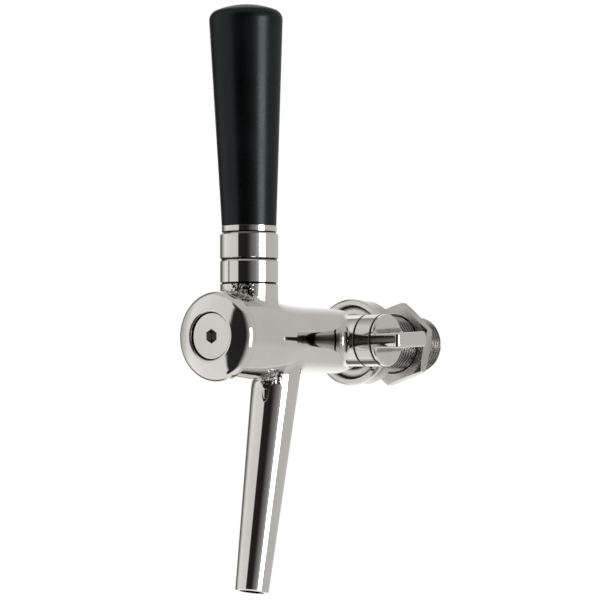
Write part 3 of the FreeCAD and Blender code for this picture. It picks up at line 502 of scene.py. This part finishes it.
def tail_rows(front, end, crest):
    """The tail's outline as rows along Y, each with its radius by angle, round to its bore."""
    shoulder = front + TAIL_SPIGOT_LENGTH

    def threaded(along):
        limit = crest - max(0.0, along - (end - TAIL_END_CHAMFER))

        def radius(angle):
            turns = (along - shoulder) / THREAD_PITCH - angle / math.tau
            return min(crest - THREAD_DEPTH * thread_drop(turns), limit)

        return radius

    rows = [
        (front, constant(TAIL_BORE_RADIUS)),
        (front, constant(TAIL_SPIGOT_RADIUS)),
        (shoulder, constant(TAIL_SPIGOT_RADIUS)),
    ]
    steps = math.ceil((end - shoulder) / THREAD_PITCH * THREAD_ROWS)
    for step in range(steps + 1):
        along = shoulder + (end - shoulder) * step / steps
        rows.append((along, threaded(along)))
    rows.append((end, constant(TAIL_BORE_RADIUS + TAIL_BORE_CHAMFER)))
    rows.append((end - TAIL_BORE_CHAMFER, constant(TAIL_BORE_RADIUS)))
    return rows


def make_tail(material):
    low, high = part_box("tail_shank")
    rows = tail_rows(low[1], high[1], (high[0] - low[0]) / 2)
    points = []
    for along, radius in rows:
        for index in range(AROUND):
            angle = math.tau * index / AROUND
            out = radius(angle)
            points.append((out * math.cos(angle), along, out * math.sin(angle)))
    faces = []
    for row in range(len(rows)):
        here = row * AROUND
        after = (row + 1) % len(rows) * AROUND
        for index in range(AROUND):
            beside = (index + 1) % AROUND
            faces.append((here + index, here + beside, after + beside, after + index))
    mesh = bpy.data.meshes.new("threaded_tail")
    mesh.from_pydata(points, [], faces)
    mesh.validate()
    mesh.materials.append(material)
    mesh.shade_smooth()
    mesh.set_sharp_from_angle(angle=math.radians(SHARP_EDGE))
    tail = bpy.data.objects.new("threaded_tail", mesh)
    bpy.context.scene.collection.objects.link(tail)
    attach(tail, "tap")
    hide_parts("tail_shank")


# The stage

def make_floor():
    """A pale floor that glows faintly to the camera and isn't mirrored in the chrome."""
    mesh = bpy.data.meshes.new("floor")
    half = FLOOR_SIZE / 2
    corners = [(-half, -half), (half, -half), (half, half), (-half, half)]
    mesh.from_pydata([(x, y, FLOOR_HEIGHT) for x, y in corners], [], [(0, 1, 2, 3)])
    floor = bpy.data.objects.new("floor", mesh)
    bpy.context.scene.collection.objects.link(floor)
    material, tree, shader = new_material("pale_floor")
    shader.inputs["Base Color"].default_value = (*grey(FLOOR_GREY), 1.0)
    shader.inputs["Roughness"].default_value = FLOOR_ROUGHNESS
    path = tree.nodes.new("ShaderNodeLightPath").outputs
    glow = tree.nodes.new("ShaderNodeEmission").outputs[0]
    clear = tree.nodes.new("ShaderNodeBsdfTransparent").outputs[0]
    glow_share = math_node(tree, "MULTIPLY", path["Is Camera Ray"], FLOOR_GLOW)
    lit = mix_shader(tree, glow_share, shader.outputs[0], glow)
    unmirrored = mix_shader(tree, path["Is Glossy Ray"], lit, clear)
    link(tree, unmirrored, tree.nodes["Material Output"].inputs["Surface"])
    mesh.materials.append(material)


def studio_ramp(tree, place):
    """The studio's brightness at a place from 0 to 1, once round the tap."""
    node = tree.nodes.new("ShaderNodeValToRGB")
    stops = node.color_ramp.elements
    while len(stops) < len(STUDIO_LEVELS):
        stops.new(0.5)
    for stop, (degrees, _) in zip(stops, STUDIO_LEVELS):
        stop.position = (degrees + 180) / 360
    for stop, (_, level) in zip(stops, STUDIO_LEVELS):
        stop.color = (*grey(level), 1.0)
    link(tree, place, node.inputs[0])
    return node.outputs[0]


def make_studio():
    """A studio seen by all rays but the camera's own, which see plain white."""
    world = bpy.data.worlds.new("studio")
    world.use_nodes = True
    tree = world.node_tree
    parts = components(tree, tree.nodes.new("ShaderNodeTexCoord").outputs["Generated"])
    rise = parts["Z"]
    fall = math_node(tree, "MULTIPLY", rise, -1.0)
    ahead = math_node(tree, "MULTIPLY", parts["Y"], -1.0)
    bearing = math_node(tree, "ARCTAN2", parts["X"], ahead)
    below = math_node(tree, "MAXIMUM", fall, 0.0)
    slant = math_node(tree, "MULTIPLY", below, math.radians(STUDIO_SLANT))
    bearing = math_node(tree, "ADD", bearing, slant)
    place = math_node(tree, "ADD", math_node(tree, "DIVIDE", bearing, math.tau), 0.5)
    ceiling = span(tree, rise, *CEILING_RANGE)
    color = mix_color(tree, ceiling, studio_ramp(tree, place), grey(CEILING_LEVEL))
    lift = vector_math(tree, "SCALE", color)
    link(tree, span(tree, fall, *GROUND_RANGE, 1.0, GROUND_LIFT), lift.inputs["Scale"])
    underside = span(tree, fall, *UNDERSIDE_RANGE)
    color = mix_color(tree, underside, lift.outputs[0], grey(UNDERSIDE_LEVEL))
    path = tree.nodes.new("ShaderNodeLightPath")
    color = mix_color(tree, path.outputs["Is Camera Ray"], color, grey(1.0))
    link(tree, color, tree.nodes["Background"].inputs["Color"])
    bpy.context.scene.world = world


def make_softbox():
    data = bpy.data.lights.new("softbox", "AREA")
    data.shape = "RECTANGLE"
    data.size = SOFTBOX_WIDTH
    data.size_y = SOFTBOX_HEIGHT
    data.energy = SOFTBOX_POWER
    lamp = bpy.data.objects.new("softbox", data)
    bpy.context.scene.collection.objects.link(lamp)
    bearing = math.radians(SOFTBOX_BEARING)
    low, high = CAD_BOX
    middle = (Vector(low) + Vector(high)) / 2
    away = Vector((math.sin(bearing), -math.cos(bearing), 0.0))
    lamp.location = middle + away * SOFTBOX_DISTANCE + Vector((0.0, 0.0, SOFTBOX_RISE))
    lamp.rotation_euler = away.to_track_quat("Z", "Y").to_euler()


def make_camera():
    azimuth = math.radians(VIEW_AZIMUTH)
    elevation = math.radians(VIEW_ELEVATION)
    back = Vector((
        math.sin(azimuth) * math.cos(elevation),
        -math.cos(azimuth) * math.cos(elevation),
        math.sin(elevation),
    ))
    right = Vector((math.cos(azimuth), math.sin(azimuth), 0.0))
    up = back.cross(right)
    metres_per_pixel = VIEW_DISTANCE / FOCAL_PIXELS
    middle = IMAGE_SIZE / 2
    place = FRONT_FACE + back * VIEW_DISTANCE
    place += right * ((middle - FRONT_FACE_X) * metres_per_pixel)
    place += up * ((FRONT_FACE_Y - middle) * metres_per_pixel)
    data = bpy.data.cameras.new("camera")
    data.lens = FOCAL_PIXELS / IMAGE_SIZE * SENSOR_WIDTH
    data.sensor_width = SENSOR_WIDTH
    data.clip_start = CLIP_START
    data.clip_end = CLIP_END
    camera = bpy.data.objects.new("camera", data)
    bpy.context.scene.collection.objects.link(camera)
    turn = Matrix((right, up, back)).transposed().to_4x4()
    camera.matrix_world = Matrix.Translation(place) @ turn
    bpy.context.scene.camera = camera


finishes = dress_nodes()
make_tail(finishes["thread_steel"])
make_floor()
make_studio()
make_softbox()
make_camera()
bpy.context.scene.view_settings.view_transform = "Standard"
